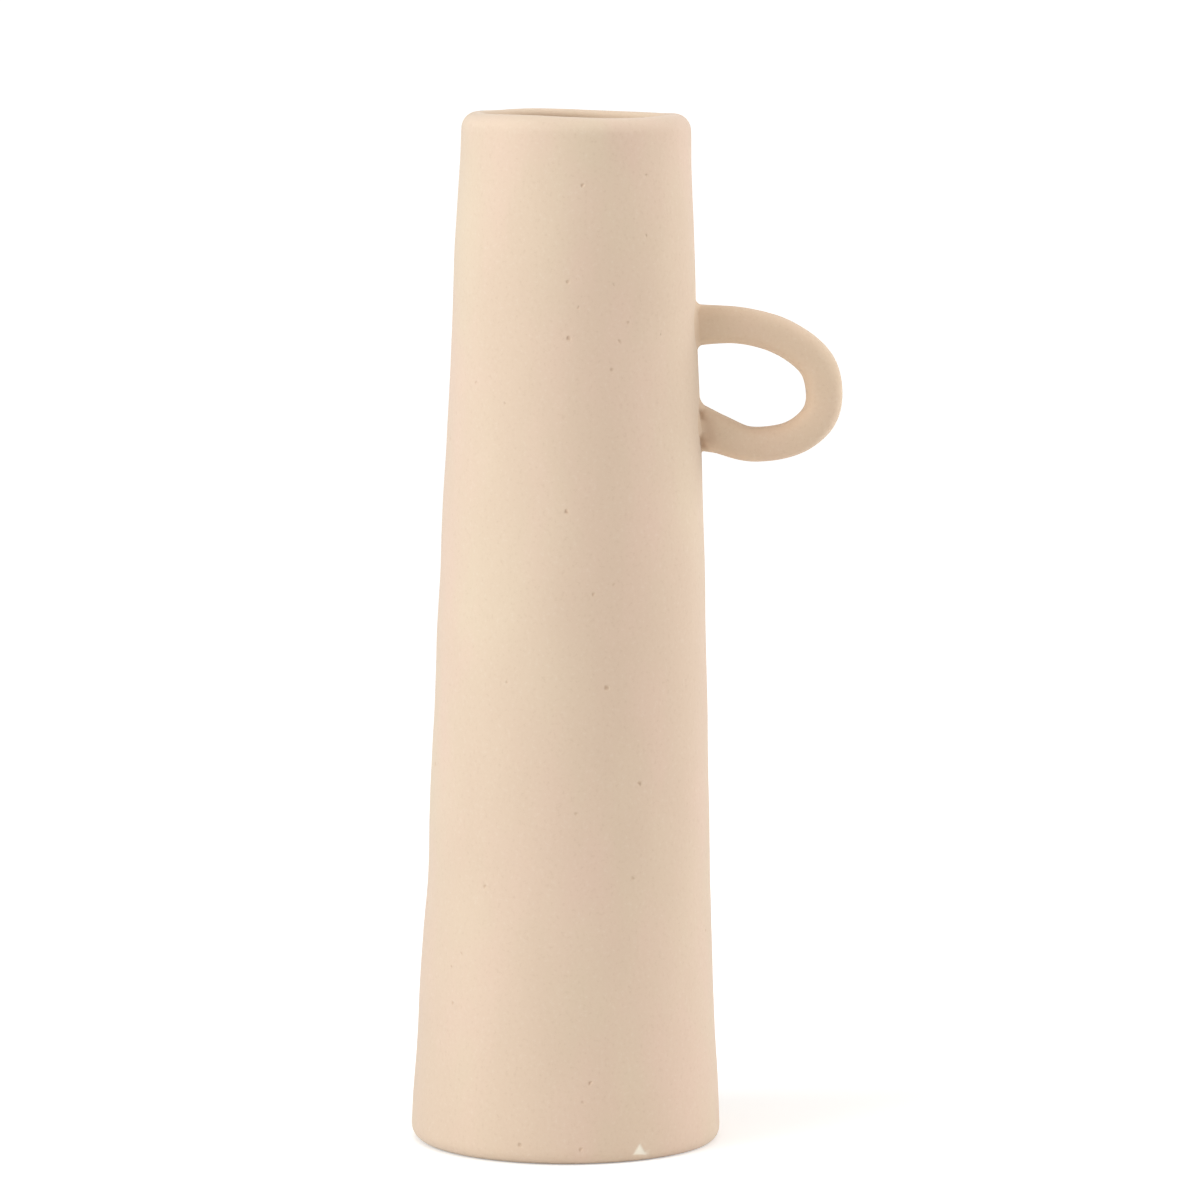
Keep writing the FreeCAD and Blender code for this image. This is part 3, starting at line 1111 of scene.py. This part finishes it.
def seen_directly(tree):
    """1 for rays from the camera, a mirror or glass, and 0 for rays that light the scene."""
    path = tree.nodes.new("ShaderNodeLightPath")
    seen = add_math(tree, "MAXIMUM", path.outputs["Is Camera Ray"], path.outputs["Is Glossy Ray"])
    return add_math(tree, "MAXIMUM", seen, path.outputs["Is Transmission Ray"])


floor_place = floor_tree.nodes.new("ShaderNodeTexCoord").outputs["Object"]
distance = floor_tree.nodes.new("ShaderNodeVectorMath")
distance.operation = "LENGTH"
floor_tree.links.new(floor_place, distance.inputs[0])
far_off = distance.outputs["Value"]
spread = add_range(floor_tree, far_off, glow_start, glow_end, NEAR_GLOW, FAR_GLOW)
glow = add_math(floor_tree, "MULTIPLY", seen_directly(floor_tree), spread)
floor_tree.links.new(glow, floor_shader.inputs["Emission Strength"])
floor.data.materials.append(floor_material)
print("floor of", floor_radius, "m radius")

# %% Build the world
# The light that comes from all round, and what the camera sees there instead
AMBIENT_LIGHT = (0.447, 0.423, 0.398, 1.0)
WHITE = (1.0, 1.0, 1.0, 1.0)
world = bpy.data.worlds.new("white surroundings")
world.use_nodes = True
bpy.context.scene.world = world
world_tree = world.node_tree
ambient = world_tree.nodes["Background"]
ambient.inputs["Strength"].default_value = 1.0
surroundings = add_mix(world_tree, seen_directly(world_tree), AMBIENT_LIGHT, WHITE)
world_tree.links.new(surroundings, ambient.inputs["Color"])
print("world:", world.name)


# %% Set the lamps
def add_lamp(name, place, power, size, colour):
    """A square area lamp, in watts and metres, that faces the middle of the vase."""
    lamp_data = bpy.data.lights.new(name, "AREA")
    lamp_data.energy = power
    lamp_data.size = size
    lamp_data.color = colour
    lamp = bpy.data.objects.new(name, lamp_data)
    lamp.location = place
    facing = Vector((0.0, 0.0, vase_height / 2.0)) - Vector(place)
    lamp.rotation_euler = facing.to_track_quat("-Z", "Y").to_euler()
    bpy.context.scene.collection.objects.link(lamp)
    print(name, power, "W")


add_lamp("key from the left", (-1.5, -0.9, 0.95), 21.7, 1.4, (0.905, 0.982, 1.0))
add_lamp("fill from the right", (1.6, 0.24, 0.6), 14.9, 1.0, (0.955, 0.985, 1.0))
add_lamp("soft light from above", (-0.2, -0.3, 2.0), 11.0, 1.2, (1.0, 1.0, 1.0))
bpy.context.scene.view_settings.view_transform = "Standard"
